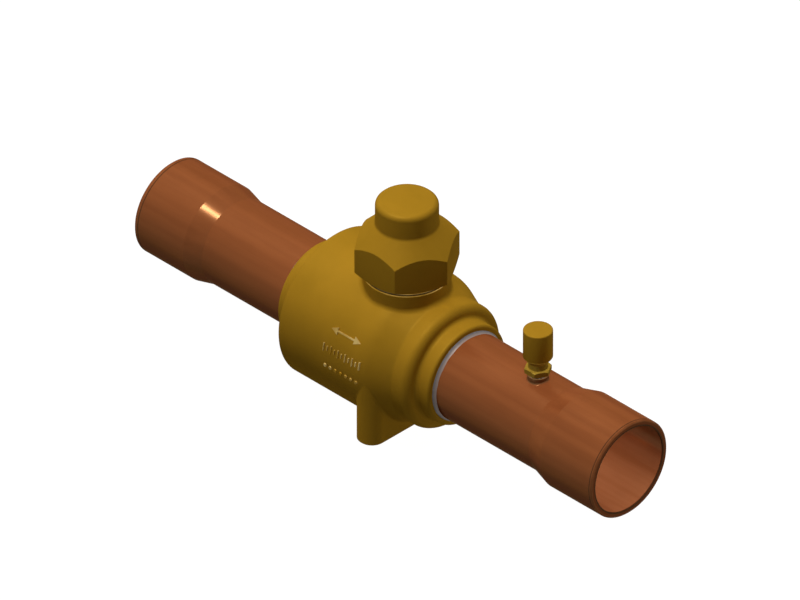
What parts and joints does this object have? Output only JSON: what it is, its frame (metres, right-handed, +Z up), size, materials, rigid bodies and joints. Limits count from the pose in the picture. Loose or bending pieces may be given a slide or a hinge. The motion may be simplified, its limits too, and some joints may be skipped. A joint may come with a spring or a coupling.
{
  "type": "refrigerant service valve",
  "caption": "Full-bore brass ball valve with copper solder stubs, hexagon seal cap over the stem and a capped access port.",
  "frame": {"origin": "centre of the line between the two mounting holes, on the foot's underside", "axes": "+X along the pipe towards the access port, +Z up the stem, away from the foot"},
  "size_m": [0.2865, 0.072, 0.1124],
  "materials": {
    "forged_brass": "satin forged and turned brass",
    "turned_brass": "turned brass",
    "copper": "drawn copper tube, satin",
    "silver_braze": "silver-grey braze metal",
    "plated_steel": "plated steel",
    "spring_steel": "spring steel",
    "ptfe": "white PTFE",
    "black_rubber": "matte black rubber",
    "cream_nylon": "cream nylon",
    "ball_plating": "hard plated and lapped"
  },
  "bodies": {
    "valve_body": {"valve_body": "forged_brass", "end_connector": "turned_brass", "connector_seal": "black_rubber", "seat_near": "ptfe", "seat_far": "ptfe", "seat_backing_near": "black_rubber", "seat_backing_far": "black_rubber", "stem_thrust_washer": "ptfe", "near_tube": "copper", "far_tube": "copper", "near_braze_ring": "silver_braze", "far_braze_ring": "silver_braze", "access_fitting": "turned_brass", "access_braze_ring": "silver_braze", "core_body": "turned_brass", "core_gasket": "ptfe", "core_spring": "spring_steel"},
    "stem_and_ball": {"stem": "turned_brass", "ball": "ball_plating", "stem_o_ring_lower": "black_rubber", "stem_o_ring_upper": "black_rubber", "stop_pin": "plated_steel"},
    "cap_ring": {"cap_gasket": "cream_nylon"},
    "seal_cap": {"seal_cap": "turned_brass"},
    "access_seal": {"access_cap_seal": "black_rubber"},
    "access_cap": {"access_cap": "turned_brass"},
    "core_pin": {"core_pin": "plated_steel", "core_seal": "black_rubber"}
  },
  "joints": [
    {"name": "stem_turn", "type": "hinge", "parent": "valve_body", "child": "stem_and_ball", "pos_m": [-0.0066, 0, 0.0346], "axis": [0, 0, 1], "range_deg": [-90, 0]},
    {"name": "cap_lift", "type": "slide", "parent": "valve_body", "child": "cap_ring", "axis": [0, 0, 1], "range_m": [0, 0.009]},
    {"name": "cap_turn", "type": "hinge", "parent": "cap_ring", "child": "seal_cap", "pos_m": [-0.0066, 0, 0.0746], "axis": [0, 0, 1], "range_deg": [0, 2160]},
    {"name": "access_lift", "type": "slide", "parent": "valve_body", "child": "access_seal", "axis": [0, 0, 1], "range_m": [0, 0.01016]},
    {"name": "access_turn", "type": "hinge", "parent": "access_seal", "child": "access_cap", "pos_m": [0.0754, 0, 0.0746], "axis": [0, 0, 1], "range_deg": [0, 2880]},
    {"name": "core_press", "type": "slide", "parent": "valve_body", "child": "core_pin", "axis": [0, 0, -1], "range_m": [0, 0.001], "stiffness_N_per_m": 2000, "springref_m": -0.0015, "deforming": ["core_spring"]}
  ],
  "couplings": [
    {"joint": "cap_turn", "follows": "cap_lift", "rad_per_m": 4188.8},
    {"joint": "access_turn", "follows": "access_lift", "rad_per_m": 4947.4}
  ]
}
